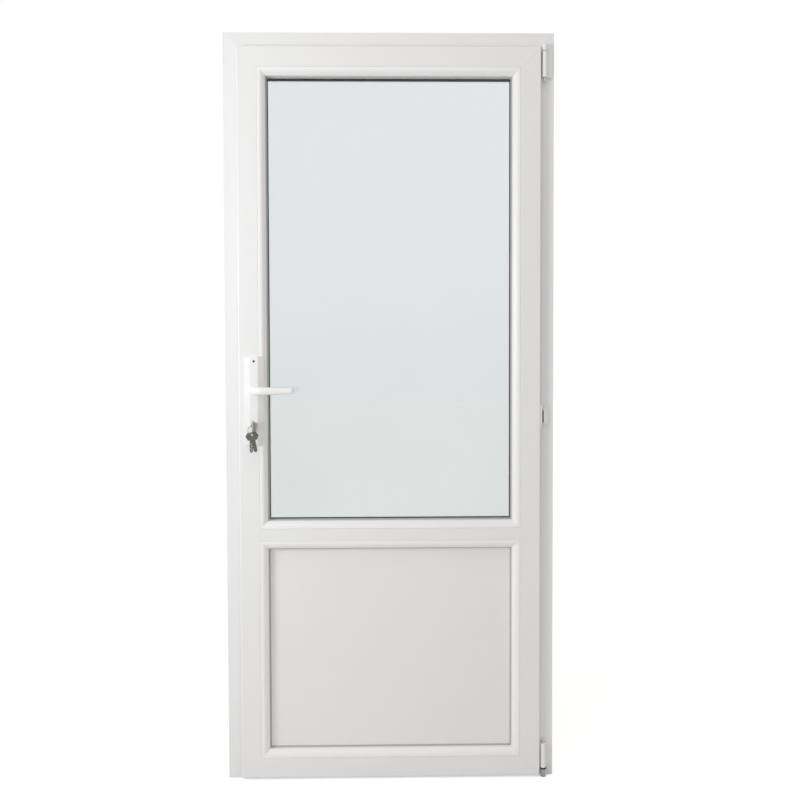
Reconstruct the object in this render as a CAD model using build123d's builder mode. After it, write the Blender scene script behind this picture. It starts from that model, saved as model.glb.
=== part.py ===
"""Half-glazed white plastic exterior door in its frame, opening inwards.

Millimetres, +Z up.  X runs along the wall, Y from the room (minus) to the
outside (plus).  The origin lies on the floor, in the middle of the width
and of the frame's depth.
"""
import os

from build123d import *

# Door set
door_width = 880.0
door_height = 2000.0

# Frame profile
frame_face = 45.0
fin_height = 16.0
fin_thickness = 13.0
clip_groove_width = 7.0
clip_groove_depth = 3.0
clip_groove_spacing = 26.0
frame_edge_radius = 3.0

# Leaf profile
leaf_depth = 66.0
lip_width = 20.0
lip_thickness = 13.0
leaf_flat = 54.0
leg_height = 21.5
leg_thickness = 14.0
leaf_edge_radius = 3.0
seam_radius = 0.8

# Gaps between the leaf and its frame
lip_gap = 5.0
rebate_gap = 12.0
head_gap = 15.5
threshold_gap = 9.5
seal_clearance = 0.5

# Threshold
threshold_height = 16.0
threshold_nose = 5.0
tread_groove_width = 3.0
tread_groove_depth = 1.0
tread_groove_pitch = 8.0
tread_groove_count = 3

# Middle rail and filling
mid_rail_height = 664.5
mid_rail_flat = 33.0
gasket_thickness = 3.0
gasket_cover = 8.0
gasket_lip = 3.0
gasket_tip = 1.2
pane_thickness = 4.0
pane_gap = 16.0
spacer_width = 10.0
filling_edge_gap = 5.0

# Glazing beads
bead_width = 21.5
bead_flat = 7.0
bead_nose = 4.0
bead_bulge = 2.6

# Seals
frame_seal_width = 3.4
leaf_seal_width = 3.5
seal_inset = 1.0
threshold_seal_width = 9.0

# Lock and handles
handle_backset = 42.0
spindle_height = 1052.0
cylinder_drop = 92.0
plate_width = 50.0
outside_plate_width = 26.0
plate_height = 236.0
plate_top_above_spindle = 91.0
plate_thickness = 10.0
plate_front_share = 0.43
plate_edge = 2.0
screw_inset = 13.0
screw_hole_radius = 2.2
screw_head_radius = 3.3
screw_head_depth = 6.0
neck_radius = 9.0
neck_clearance = 0.1
neck_seat = 2.0
collar_gap = 0.8
collar_radius = 10.3
collar_height = 5.0
lever_reach = 52.0
lever_length = 108.0
outside_lever_length = 90.0
outside_lever_droop = 3.5
elbow_radius = 13.0
grip_height = 20.6
outside_grip_height = 15.0
grip_thickness = 14.0
grip_bevel = 4.0
grip_taper = 1.5
grip_end_bevel = 2.5
spindle_side = 8.0
spindle_bore_radius = 7.5
cylinder_radius = 8.5
cylinder_tail_width = 10.0
cylinder_height = 33.0
cylinder_proud = 3.0
fit_clearance = 0.3

# Lock edge
hardware_groove_width = 16.2
hardware_groove_depth = 3.0
hardware_groove_offset = 40.0
faceplate_width = 16.0
faceplate_thickness = 2.8
faceplate_bottom = 200.0
faceplate_top = 1760.0
latch_height = 30.0
latch_width = 11.0
latch_proud = 4.0
bolt_depth = 12.0
dead_bolt_height = 36.0
dead_bolt_drop = 28.0
strike_thickness = 3.0
strike_width = 22.0
strike_margin = 42.0
strike_hole_margin = 3.0

# Hinges
hinge_axis_gap = 10.5
hinge_axis_front = 10.0
barrel_radius = 6.5
bottom_barrel_radius = 7.5
pin_radius = 3.0
pin_clearance = 0.05
knuckle_gap = 2.0
flap_thickness = 3.0
frame_flap_thickness = 4.0
frame_flap_reach = 20.0
bottom_flap_reach = 10.0
top_knuckle_above_leaf = 6.5
top_knuckle_height = 15.0
top_barrel_height = 67.0
top_pin_tail = 12.0
top_arm_length = 183.0
top_arm_shoulder = 23.0
bottom_bearing_base = 1.0
bottom_bearing_height = 22.0
bottom_barrel_height = 66.0
bottom_pin_head = 7.0
bottom_flap_depth = 30.0
seal_notch_margin = 0.6

# Middle catch on the hinge side
catch_height = 980.0
cam_length = 70.0
cam_thickness = 5.0
cam_depth = 10.0
cam_taper = 9.0
keeper_length = 34.0
keeper_width = 7.0
keeper_depth = 9.0
keeper_offset = 0.5
keeper_base_length = 46.0
keeper_base_width = 15.0
keeper_base_thickness = 3.0

# Keys
key_thickness = 2.2
key_slot_clearance = 0.2
key_blade_height = 8.4
key_blade_length = 24.0
key_bow_depth = 26.0
key_bow_height = 28.0
key_bow_corner = 8.0
key_bow_gap = 4.0
key_hole_radius = 4.0
key_hole_inset = 7.5
ring_radius = 11.0
ring_wire_width = 1.8
ring_wire_height = 1.4
ring_swing = 25.0
hang_clearance = 2.1
spare_bow_width = 31.0
spare_bow_height = 21.0
spare_bow_taper = 6.0
spare_hole_drop = 6.5
spare_blade_length = 32.0
spare_blade_width = 9.0
spare_blade_point = 3.0
spare_key_step = 2.4
spare_key_lean = 11.0

# Worked out from the sizes above
half_width = door_width / 2
leaf_projection = lip_thickness + lip_gap
rebate_depth = leaf_depth - leaf_projection + lip_gap
frame_depth = rebate_depth + fin_thickness
frame_front = -frame_depth / 2
frame_back = frame_depth / 2
fin_front = frame_back - fin_thickness
rebate_x = half_width - frame_face
fin_x = rebate_x - fin_height

leaf_front = frame_front - leaf_projection
leaf_back = leaf_front + leaf_depth
lip_back = leaf_front + lip_thickness
leaf_half = rebate_x - rebate_gap + lip_width
leaf_body_half = leaf_half - lip_width
leaf_body_bottom = threshold_height + threshold_gap
leaf_bottom = leaf_body_bottom - lip_width
leaf_body_top = door_height - frame_face - head_gap
leaf_top = leaf_body_top + lip_width
leg_front = leaf_back - leg_thickness

unit_thickness = 2 * pane_thickness + pane_gap
unit_back = leg_front - gasket_thickness
unit_front = unit_back - unit_thickness
bead_back = unit_front - gasket_thickness
opening_half = leaf_half - leaf_flat
upper_low = mid_rail_height + mid_rail_flat / 2
upper_high = leaf_top - leaf_flat
lower_low = leaf_bottom + leaf_flat
lower_high = mid_rail_height - mid_rail_flat / 2

groove_y = leaf_front + hardware_groove_offset
spindle_x = -leaf_half + handle_backset
cylinder_z = spindle_height - cylinder_drop
plate_centre_z = spindle_height + plate_top_above_spindle - plate_height / 2
inside_face = leaf_front - plate_thickness
hinge_x = leaf_half + hinge_axis_gap
hinge_y = frame_front - hinge_axis_front

os.makedirs("parts", exist_ok=True)


def save(piece, name):
    """Label a finished piece and write it as one STEP file."""
    piece.label = name
    export_step(piece, f"parts/{name}.step")


def rectangle_sides(half, low, high):
    """Sketch plane and length of each side of an upright rectangle.

    Local X points into the rectangle, local Y is the depth.
    """
    across, up = (1, 0, 0), (0, 0, 1)
    back, down = (-1, 0, 0), (0, 0, -1)
    return {
        "left": (Plane((-half, 0, low), across, up), high - low),
        "right": (Plane((half, 0, high), back, down), high - low),
        "top": (Plane((-half, 0, high), down, across), 2 * half),
        "bottom": (Plane((half, 0, low), up, back), 2 * half),
    }


def profile_bar(section, base, length, mitre_start=True, mitre_end=True):
    """Extrude a profile along one side and cut its mitres at 45 degrees."""
    with BuildPart() as bar:
        with BuildSketch(base):
            add(section)
        extrude(amount=length)
        if mitre_start:
            split(bisect_by=Plane(base.origin, z_dir=base.z_dir - base.x_dir), keep=Keep.TOP)
        if mitre_end:
            end = base.origin + base.z_dir * length
            split(bisect_by=Plane(end, z_dir=-base.z_dir - base.x_dir), keep=Keep.TOP)
    return bar.part


def profile_loop(section, sides):
    """Join the mitred bars of all four sides into one closed loop."""
    with BuildPart() as loop:
        for base, length in sides.values():
            add(profile_bar(section, base, length))
    return loop.part


def frame_section():
    """L-shaped frame profile with its outer stop and wall clip grooves."""
    with BuildSketch() as section:
        with BuildLine():
            Polyline(
                (0, frame_front),
                (frame_face, frame_front),
                (frame_face, fin_front),
                (frame_face + fin_height, fin_front),
                (frame_face + fin_height, frame_back),
                (0, frame_back),
                close=True,
            )
        make_face()
        inner_front = section.vertices().group_by(Axis.Y)[0].sort_by(Axis.X)[-1]
        inner_back = section.vertices().group_by(Axis.Y)[-1].sort_by(Axis.X)[-1]
        fillet([inner_front, inner_back], radius=frame_edge_radius)
        with Locations((clip_groove_depth / 2, 0)):
            with GridLocations(0, clip_groove_spacing, 1, 2):
                Rectangle(clip_groove_depth, clip_groove_width, mode=Mode.SUBTRACT)
    return section.sketch


def leaf_section():
    """Z-shaped leaf profile: lip, body, hardware groove and glazing leg."""
    with BuildSketch() as section:
        with BuildLine():
            Polyline(
                (0, leaf_front),
                (leaf_flat, leaf_front),
                (leaf_flat, leg_front),
                (leaf_flat + leg_height, leg_front),
                (leaf_flat + leg_height, leaf_back),
                (lip_width, leaf_back),
                (lip_width, lip_back),
                (0, lip_back),
                close=True,
            )
        make_face()
        front = section.vertices().group_by(Axis.Y)[0].sort_by(Axis.X)
        leg_corner = section.vertices().group_by(Axis.Y)[-1].sort_by(Axis.X)[-1]
        fillet([front[0], leg_corner], radius=leaf_edge_radius)
        seam_corner = section.vertices().group_by(Axis.Y)[0].sort_by(Axis.X)[-1]
        fillet(seam_corner, radius=seam_radius)
        with Locations((lip_width + hardware_groove_depth / 2, groove_y)):
            Rectangle(hardware_groove_depth, hardware_groove_width, mode=Mode.SUBTRACT)
    return section.sketch


def bead_section():
    """Glazing bead: narrow flat, bulged slope and thin nose at the glass."""
    nose_front = bead_back - bead_nose
    middle = (bead_flat + (bead_width - bead_flat) / 2 + bead_bulge,
              (leaf_front + nose_front) / 2 - bead_bulge)
    with BuildSketch() as section:
        with BuildLine():
            Polyline((bead_width, nose_front), (bead_width, bead_back), (0, bead_back),
                     (0, leaf_front), (bead_flat, leaf_front))
            ThreePointArc((bead_flat, leaf_front), middle, (bead_width, nose_front))
        make_face()
        seam_corner = section.vertices().group_by(Axis.Y)[0].sort_by(Axis.X)[0]
        fillet(seam_corner, radius=seam_radius)
    return section.sketch


def gasket_section(seat, outward):
    """Flat glazing gasket with a lip that tapers onto the filling."""
    filling = seat + outward * gasket_thickness
    tip = filling - outward * gasket_tip
    with BuildSketch() as section:
        with BuildLine():
            Polyline(
                (bead_width - gasket_cover, seat),
                (bead_width, seat),
                (bead_width + gasket_lip, tip),
                (bead_width + gasket_lip, filling),
                (bead_width - gasket_cover, filling),
                close=True,
            )
        make_face()
    return section.sketch


def bulb_section(start, width, seat, crown):
    """Rounded sealing bulb that stands on a flat seat."""
    with BuildSketch() as section:
        with BuildLine():
            Line((start, seat), (start + width, seat))
            ThreePointArc((start + width, seat), (start + width / 2, crown), (start, seat))
        make_face()
    return section.sketch


frame_sides = rectangle_sides(half_width, 0, door_height)
leaf_sides = rectangle_sides(leaf_half, leaf_bottom, leaf_top)
upper_sides = rectangle_sides(opening_half, upper_low, upper_high)
lower_sides = rectangle_sides(opening_half, lower_low, lower_high)

# Outer frame
frame_profile = frame_section()

frame_lock_jamb = profile_bar(frame_profile, *frame_sides["left"], mitre_start=False)
save(frame_lock_jamb, "frame_lock_jamb")

frame_hinge_jamb = profile_bar(frame_profile, *frame_sides["right"], mitre_end=False)
save(frame_hinge_jamb, "frame_hinge_jamb")

frame_head = profile_bar(frame_profile, *frame_sides["top"])
save(frame_head, "frame_head")

# Threshold, coped round the outer stops of the jambs
with BuildPart() as threshold:
    with BuildSketch(Plane.YZ):
        with BuildLine():
            Polyline(
                (frame_front, 0),
                (frame_back, 0),
                (frame_back, threshold_nose),
                (fin_front - fin_thickness, threshold_height),
                (frame_front, threshold_height),
                close=True,
            )
        make_face()
        with Locations((frame_front + 2 * tread_groove_pitch, threshold_height)):
            with GridLocations(tread_groove_pitch, 0, tread_groove_count, 1):
                Rectangle(tread_groove_width, 2 * tread_groove_depth, mode=Mode.SUBTRACT)
    extrude(amount=rebate_x, both=True)
    with BuildSketch(Plane.XY):
        for side in (-1, 1):
            with Locations((side * (fin_x + fin_height / 2), fin_front + fin_thickness / 2)):
                Rectangle(fin_height, fin_thickness)
    extrude(amount=threshold_height, mode=Mode.SUBTRACT)
save(threshold.part, "threshold")

threshold_bulb = bulb_section(
    fin_front - fin_thickness - threshold_seal_width,
    threshold_seal_width,
    threshold_height,
    leaf_body_bottom - seal_clearance,
)
with BuildPart() as threshold_seal:
    with BuildSketch(Plane.YZ):
        add(threshold_bulb)
    extrude(amount=leaf_body_half, both=True)
save(threshold_seal.part, "threshold_seal")

# Seal on the frame's outer stop, along both jambs and the head
frame_bulb = bulb_section(
    frame_face + rebate_gap + seal_clearance,
    frame_seal_width,
    fin_front,
    leaf_back + seal_clearance,
)
with BuildPart() as frame_seal:
    add(profile_bar(frame_bulb, *frame_sides["left"], mitre_start=False))
    add(profile_bar(frame_bulb, *frame_sides["right"], mitre_end=False))
    add(profile_bar(frame_bulb, *frame_sides["top"]))
    with BuildSketch(Plane.XY):
        Rectangle(door_width, frame_depth)
    extrude(amount=threshold_height, mode=Mode.SUBTRACT)
save(frame_seal.part, "frame_seal")

# Leaf
leaf_profile = leaf_section()

lock_openings_z = {
    "latch": (spindle_height, latch_height),
    "dead_bolt": (cylinder_z - dead_bolt_drop, dead_bolt_height),
}


def cylinder_section(clearance):
    """Pear-shaped outline of the lock cylinder, wider by a clearance."""
    tail_round = cylinder_tail_width / 2
    tail_low = cylinder_radius - cylinder_height + tail_round
    with BuildSketch() as section:
        Circle(cylinder_radius + clearance)
        with Locations((0, tail_low / 2)):
            Rectangle(cylinder_tail_width + 2 * clearance, -tail_low)
        with Locations((0, tail_low)):
            Circle(tail_round + clearance)
    return section.sketch


cylinder_hole = cylinder_section(fit_clearance)
cylinder_plane = Plane((spindle_x, leaf_front, cylinder_z), x_dir=(1, 0, 0), z_dir=(0, -1, 0))
spindle_plane = Plane((spindle_x, leaf_front, spindle_height), x_dir=(1, 0, 0), z_dir=(0, -1, 0))
lock_edge_plane = Plane((-leaf_body_half, groove_y, 0), x_dir=(0, 1, 0), z_dir=(1, 0, 0))

with BuildPart() as leaf_lock_stile:
    add(profile_bar(leaf_profile, *leaf_sides["left"]))
    with BuildSketch(spindle_plane):
        Circle(spindle_bore_radius)
    extrude(amount=-leaf_depth, mode=Mode.SUBTRACT)
    with BuildSketch(cylinder_plane):
        add(cylinder_hole)
    extrude(amount=-leaf_depth, mode=Mode.SUBTRACT)
    with BuildSketch(lock_edge_plane):
        for centre, height in lock_openings_z.values():
            with Locations((0, centre)):
                Rectangle(latch_width + 2 * fit_clearance, height + 2 * fit_clearance)
    extrude(amount=bolt_depth + fit_clearance, mode=Mode.SUBTRACT)
save(leaf_lock_stile.part, "leaf_lock_stile")

leaf_hinge_stile = profile_bar(leaf_profile, *leaf_sides["right"])
save(leaf_hinge_stile, "leaf_hinge_stile")

leaf_top_rail = profile_bar(leaf_profile, *leaf_sides["top"])
save(leaf_top_rail, "leaf_top_rail")

leaf_bottom_rail = profile_bar(leaf_profile, *leaf_sides["bottom"])
save(leaf_bottom_rail, "leaf_bottom_rail")

# Middle rail, its web running to the stiles and its legs between their legs
with BuildPart() as leaf_mid_rail:
    with BuildSketch(Plane.XZ.offset(-leg_front)):
        with Locations((0, mid_rail_height)):
            Rectangle(2 * opening_half, mid_rail_flat)
    extrude(amount=leg_front - leaf_front)
    front_edges = leaf_mid_rail.faces().sort_by(Axis.Y)[0].edges().filter_by(Axis.X)
    fillet(front_edges, radius=seam_radius)
    with BuildSketch(Plane.XZ.offset(-leaf_back)):
        with Locations((0, mid_rail_height)):
            Rectangle(2 * (opening_half - leg_height), mid_rail_flat + 2 * leg_height)
    extrude(amount=leg_thickness)
    back_edges = leaf_mid_rail.faces().sort_by(Axis.Y)[-1].edges().filter_by(Axis.X)
    fillet(back_edges, radius=leaf_edge_radius)
save(leaf_mid_rail.part, "leaf_mid_rail")

# Seal on the back of the leaf's lip, cut away where the hinge flaps pass
flap_bottom_low = bottom_bearing_base + bottom_bearing_height + knuckle_gap
flap_bottom_high = flap_bottom_low + bottom_barrel_height
top_knuckle_high = leaf_top + top_knuckle_above_leaf
top_knuckle_low = top_knuckle_high - top_knuckle_height
shoulder_x = leaf_body_half - top_arm_shoulder

leaf_bulb = bulb_section(seal_inset, leaf_seal_width, lip_back, frame_front - seal_clearance)
with BuildPart() as leaf_seal:
    add(profile_loop(leaf_bulb, leaf_sides))
    with BuildSketch(Plane.XZ.offset(-frame_front)):
        with BuildLine():
            Polyline(
                (shoulder_x - seal_notch_margin, leaf_body_top - seal_notch_margin),
                (leaf_half, leaf_body_top - seal_notch_margin),
                (leaf_half, leaf_top),
                (shoulder_x - seal_notch_margin, leaf_top),
                close=True,
            )
        make_face()
        with Locations((leaf_half - lip_width / 2, (flap_bottom_low + flap_bottom_high) / 2)):
            Rectangle(lip_width, bottom_barrel_height + 2 * seal_notch_margin)
    extrude(amount=lip_gap, mode=Mode.SUBTRACT)
save(leaf_seal.part, "leaf_seal")

# Beads that hold the glass above and the panel below
bead_profile = bead_section()
for place, sides in (("glass", upper_sides), ("panel", lower_sides)):
    for side, (base, length) in sides.items():
        save(profile_bar(bead_profile, base, length), f"{place}_bead_{side}")

# Gaskets on both faces of the glass and of the panel
for name, seat, outward in (
    ("inner_gaskets", bead_back, 1),
    ("outer_gaskets", leg_front, -1),
):
    gasket_profile = gasket_section(seat, outward)
    with BuildPart() as gaskets:
        for sides in (upper_sides, lower_sides):
            add(profile_loop(gasket_profile, sides))
    save(gaskets.part, name)

# Double glazing: two panes on an edge spacer
filling_width = 2 * (opening_half - filling_edge_gap)
upper_centre = (upper_low + upper_high) / 2
upper_filling = upper_high - upper_low - 2 * filling_edge_gap
for name, back in (("inner_pane", unit_front + pane_thickness), ("outer_pane", unit_back)):
    with BuildPart() as pane:
        with BuildSketch(Plane.XZ.offset(-back)):
            with Locations((0, upper_centre)):
                Rectangle(filling_width, upper_filling)
        extrude(amount=pane_thickness)
    save(pane.part, name)

with BuildPart() as glass_spacer:
    with BuildSketch(Plane.XZ.offset(-(unit_back - pane_thickness))):
        with Locations((0, upper_centre)):
            Rectangle(filling_width, upper_filling)
            Rectangle(
                filling_width - 2 * spacer_width,
                upper_filling - 2 * spacer_width,
                mode=Mode.SUBTRACT,
            )
    extrude(amount=pane_gap)
save(glass_spacer.part, "glass_spacer")

with BuildPart() as lower_panel:
    with BuildSketch(Plane.XZ.offset(-unit_back)):
        with Locations((0, (lower_low + lower_high) / 2)):
            Rectangle(filling_width, lower_high - lower_low - 2 * filling_edge_gap)
    extrude(amount=unit_thickness)
save(lower_panel.part, "lower_panel")

# Lock edge: faceplate, latch and dead bolt, with the strike on the frame
with BuildPart() as lock_faceplate:
    with BuildSketch(lock_edge_plane):
        with Locations((0, (faceplate_bottom + faceplate_top) / 2)):
            SlotOverall(faceplate_top - faceplate_bottom, faceplate_width, rotation=90)
        for centre, height in lock_openings_z.values():
            with Locations((0, centre)):
                Rectangle(
                    latch_width + 2 * fit_clearance,
                    height + 2 * fit_clearance,
                    mode=Mode.SUBTRACT,
                )
    extrude(amount=faceplate_thickness)
save(lock_faceplate.part, "lock_faceplate")

with BuildPart() as latch_bolt:
    with BuildSketch(Plane.XY.offset(spindle_height - latch_height / 2)):
        with BuildLine():
            Polyline(
                (-leaf_body_half + bolt_depth, groove_y - latch_width / 2),
                (-leaf_body_half + bolt_depth, groove_y + latch_width / 2),
                (-leaf_body_half - latch_proud, groove_y + latch_width / 2),
                (-leaf_body_half, groove_y - latch_width / 2),
                close=True,
            )
        make_face()
    extrude(amount=latch_height)
save(latch_bolt.part, "latch_bolt")

with BuildPart() as dead_bolt:
    with BuildSketch(lock_edge_plane):
        with Locations((0, lock_openings_z["dead_bolt"][0])):
            Rectangle(latch_width, dead_bolt_height)
    extrude(amount=bolt_depth)
save(dead_bolt.part, "dead_bolt")

with BuildPart() as strike_plate:
    strike_plane = Plane((-rebate_x, groove_y, 0), x_dir=(0, 1, 0), z_dir=(1, 0, 0))
    bolts_low = lock_openings_z["dead_bolt"][0] - dead_bolt_height / 2
    bolts_high = spindle_height + latch_height / 2
    with BuildSketch(strike_plane):
        with Locations((0, (bolts_low + bolts_high) / 2)):
            SlotOverall(bolts_high - bolts_low + 2 * strike_margin, strike_width, rotation=90)
        for centre, height in lock_openings_z.values():
            with Locations((0, centre)):
                Rectangle(
                    latch_width + 2 * fit_clearance,
                    height + 2 * strike_hole_margin,
                    mode=Mode.SUBTRACT,
                )
    extrude(amount=strike_thickness)
save(strike_plate.part, "strike_plate")

# Lock cylinder, right through the leaf and both plates, with a keyway at each end
cylinder_length = leaf_depth + 2 * plate_thickness + 2 * cylinder_proud
cylinder_end = cylinder_plane.offset(plate_thickness + cylinder_proud)
with BuildPart() as lock_cylinder:
    with BuildSketch(cylinder_end):
        add(cylinder_section(0))
    extrude(amount=-cylinder_length)
    keyway_depth = key_blade_length + fit_clearance
    for keyway_plane in (cylinder_end, cylinder_end.offset(keyway_depth - cylinder_length)):
        with BuildSketch(keyway_plane):
            Rectangle(key_thickness + 2 * key_slot_clearance, key_blade_height + 2 * key_slot_clearance)
        extrude(amount=-keyway_depth, mode=Mode.SUBTRACT)
save(lock_cylinder.part, "lock_cylinder")


def handle_plate(face, width):
    """Long handle plate with sloping flanks, bored for lever and cylinder."""
    screw_z = plate_height / 2 - screw_inset
    spindle_y = plate_top_above_spindle - plate_height / 2
    flip = 1 if face.y_dir.Z > 0 else -1
    half, ridge = width / 2, plate_front_share * width / 2
    lower_end = face.origin - face.y_dir * plate_height / 2
    with BuildPart() as plate:
        with BuildSketch(Plane(lower_end, x_dir=face.x_dir, z_dir=face.y_dir)):
            with BuildLine():
                Polyline(
                    (-half, 0),
                    (half, 0),
                    (half, -plate_edge),
                    (ridge, -plate_thickness),
                    (-ridge, -plate_thickness),
                    (-half, -plate_edge),
                    close=True,
                )
            make_face()
        extrude(amount=plate_height)
        with BuildSketch(face):
            with Locations((0, -flip * spindle_y)):
                Circle(neck_radius + neck_clearance)
            with Locations((0, -flip * (spindle_y + cylinder_drop))):
                add(cylinder_hole if flip > 0 else cylinder_hole.mirror(Plane.XZ))
        extrude(amount=plate_thickness, mode=Mode.SUBTRACT)
        with Locations(face.offset(plate_thickness)):
            with GridLocations(0, 2 * screw_z, 1, 2):
                CounterBoreHole(
                    screw_hole_radius, screw_head_radius, screw_head_depth, plate_thickness
                )
    return plate.part


inside_plate_face = Plane((spindle_x, leaf_front, plate_centre_z), x_dir=(1, 0, 0), z_dir=(0, -1, 0))
outside_plate_face = Plane((spindle_x, leaf_back, plate_centre_z), x_dir=(1, 0, 0), z_dir=(0, 1, 0))
save(handle_plate(inside_plate_face, plate_width), "inside_handle_plate")
save(handle_plate(outside_plate_face, outside_plate_width), "outside_handle_plate")


def grip_section(height):
    """Bevelled section of a lever's grip."""
    with BuildSketch() as section:
        Rectangle(grip_thickness, height)
        chamfer(section.vertices(), grip_bevel)
    return section.sketch


def lever(face, grip, length):
    """Round collar, bevelled neck, quarter bend and a grip that thins to its tip."""
    out, along = face.z_dir, face.x_dir
    collar_base = plate_thickness + collar_gap
    neck_base = collar_base + collar_height
    bend_base = face.offset(lever_reach - elbow_radius)
    bend_centre = bend_base.origin + along * elbow_radius
    grip_base = Plane(bend_centre + out * elbow_radius, x_dir=-out, z_dir=along)
    with BuildPart() as handle:
        with BuildSketch(face.offset(neck_seat)):
            Circle(neck_radius)
        extrude(amount=collar_base - neck_seat)
        with BuildSketch(face.offset(collar_base)):
            Circle(collar_radius)
        extrude(amount=collar_height)
        with BuildSketch(face.offset(neck_base)):
            add(grip)
        extrude(amount=lever_reach - elbow_radius - neck_base)
        with BuildSketch(bend_base):
            add(grip)
        revolve(axis=Axis(bend_centre, out.cross(along)), revolution_arc=90)
        with BuildSketch(grip_base):
            add(grip)
        extrude(amount=length - elbow_radius, taper=grip_taper)
        chamfer(handle.faces().sort_by(Axis.X)[-1].edges(), grip_end_bevel)
    return handle.part


outside_spindle = (spindle_x, leaf_back, spindle_height)
outside_along = Vector(1, 0, 0).rotate(Axis.Y, outside_lever_droop)
outside_spindle_plane = Plane(outside_spindle, x_dir=outside_along, z_dir=(0, 1, 0))
save(lever(spindle_plane, grip_section(grip_height), lever_length), "inside_lever")
outside_grip = grip_section(outside_grip_height)
save(lever(outside_spindle_plane, outside_grip, outside_lever_length), "outside_lever")

with BuildPart() as lever_spindle:
    with BuildSketch(spindle_plane.offset(neck_seat)):
        Rectangle(spindle_side, spindle_side)
    extrude(amount=-(leaf_depth + 2 * neck_seat))
save(lever_spindle.part, "lever_spindle")

# Hinges: pins and bearings on the frame, knuckles and flaps on the leaf
hinge_plane = Plane((hinge_x, hinge_y, 0))
lip_back_plane = Plane.XZ.offset(-(lip_back + flap_thickness))
barrel_top = top_knuckle_low - knuckle_gap
barrel_base = barrel_top - top_barrel_height


def knuckle_on_frame(low, height, radius, reach):
    """Round barrel with a flap screwed to the frame's face."""
    with BuildPart() as knuckle:
        with BuildSketch(hinge_plane.offset(low)):
            Circle(radius)
            with Locations((-radius / 2, hinge_axis_front - frame_flap_thickness)):
                Rectangle(
                    reach + radius / 2,
                    frame_flap_thickness,
                    align=(Align.MIN, Align.MIN),
                )
            Circle(pin_radius + pin_clearance, mode=Mode.SUBTRACT)
        extrude(amount=height)
    return knuckle.part


top_bearing = knuckle_on_frame(barrel_base, top_barrel_height, barrel_radius, frame_flap_reach)
save(top_bearing, "top_hinge_bearing")
bottom_bearing = knuckle_on_frame(
    bottom_bearing_base, bottom_bearing_height, bottom_barrel_radius, bottom_flap_reach
)
save(bottom_bearing, "bottom_hinge_bearing")

with BuildPart() as top_hinge_pin:
    with BuildSketch(hinge_plane.offset(barrel_base - top_pin_tail)):
        Circle(pin_radius)
    extrude(amount=top_knuckle_high - barrel_base + top_pin_tail)
save(top_hinge_pin.part, "top_hinge_pin")

with BuildPart() as bottom_hinge_pin:
    with BuildSketch(hinge_plane.offset(bottom_bearing_base)):
        Circle(pin_radius)
    extrude(amount=flap_bottom_high + bottom_pin_head - bottom_bearing_base)
save(bottom_hinge_pin.part, "bottom_hinge_pin")

with BuildPart() as bottom_hinge_flap:
    with BuildSketch(hinge_plane.offset(flap_bottom_low)):
        Circle(bottom_barrel_radius)
        with Locations((leaf_body_half - hinge_x, lip_back - hinge_y)):
            Rectangle(hinge_x - leaf_body_half, flap_thickness, align=(Align.MIN, Align.MIN))
            Rectangle(flap_thickness, bottom_flap_depth, align=(Align.MIN, Align.MIN))
        Circle(pin_radius + pin_clearance, mode=Mode.SUBTRACT)
    extrude(amount=bottom_barrel_height)
save(bottom_hinge_flap.part, "bottom_hinge_flap")

with BuildPart() as top_hinge_arm:
    with BuildSketch(hinge_plane.offset(top_knuckle_low)):
        Circle(barrel_radius)
        with Locations((shoulder_x - hinge_x, lip_back - hinge_y)):
            Rectangle(hinge_x - shoulder_x, flap_thickness, align=(Align.MIN, Align.MIN))
        Circle(pin_radius + pin_clearance, mode=Mode.SUBTRACT)
    extrude(amount=top_knuckle_height)
    with BuildSketch(lip_back_plane):
        with Locations((shoulder_x, leaf_body_top)):
            Rectangle(
                top_arm_shoulder,
                top_knuckle_low - leaf_body_top,
                align=(Align.MIN, Align.MIN),
            )
    extrude(amount=flap_thickness)
    strap_back = groove_y + faceplate_width / 2
    with BuildSketch(Plane.XY.offset(leaf_body_top)):
        with Locations((shoulder_x, lip_back)):
            Rectangle(top_arm_shoulder, strap_back - lip_back, align=(Align.MIN, Align.MIN))
    extrude(amount=flap_thickness)
    with BuildSketch(Plane.XY.offset(leaf_body_top)):
        with Locations((leaf_body_half - top_arm_length, strap_back)):
            Rectangle(top_arm_length, faceplate_width, align=(Align.MIN, Align.MAX))
    extrude(amount=-faceplate_thickness)
save(top_hinge_arm.part, "top_hinge_arm")

# Middle catch: tapered cam on the leaf's edge, keeper on the frame
with BuildPart() as catch_cam:
    with BuildSketch(Plane.XZ.offset(-(lip_back - seal_clearance))):
        with BuildLine():
            Polyline(
                (leaf_half, catch_height - cam_length / 2),
                (leaf_half + cam_thickness, catch_height - cam_length / 2 + 2 * cam_taper),
                (leaf_half + cam_thickness, catch_height + cam_length / 2 - cam_taper),
                (leaf_half, catch_height + cam_length / 2),
                close=True,
            )
        make_face()
    extrude(amount=cam_depth)
save(catch_cam.part, "catch_cam")

with BuildPart() as catch_keeper:
    keeper_x = hinge_x - keeper_offset
    with BuildSketch(Plane.XZ.offset(-frame_front)):
        with Locations((keeper_x + keeper_base_width / 2 - keeper_offset, catch_height)):
            RectangleRounded(keeper_base_width, keeper_base_length, keeper_base_thickness)
    extrude(amount=keeper_base_thickness)
    with BuildSketch(Plane.XZ.offset(-frame_front)):
        with Locations((keeper_x + keeper_width / 2, catch_height)):
            Rectangle(keeper_width, keeper_length)
    extrude(amount=keeper_depth)
save(catch_keeper.part, "catch_keeper")

# Keys: one in the lock, a ring through its bow and two spare keys on the ring
key_front = inside_face - cylinder_proud
bow_back = key_front - key_bow_gap
key_plane = Plane((spindle_x, 0, cylinder_z), x_dir=(0, 1, 0), z_dir=(1, 0, 0))
ring_hole_y = bow_back - key_bow_depth + key_hole_inset

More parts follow.
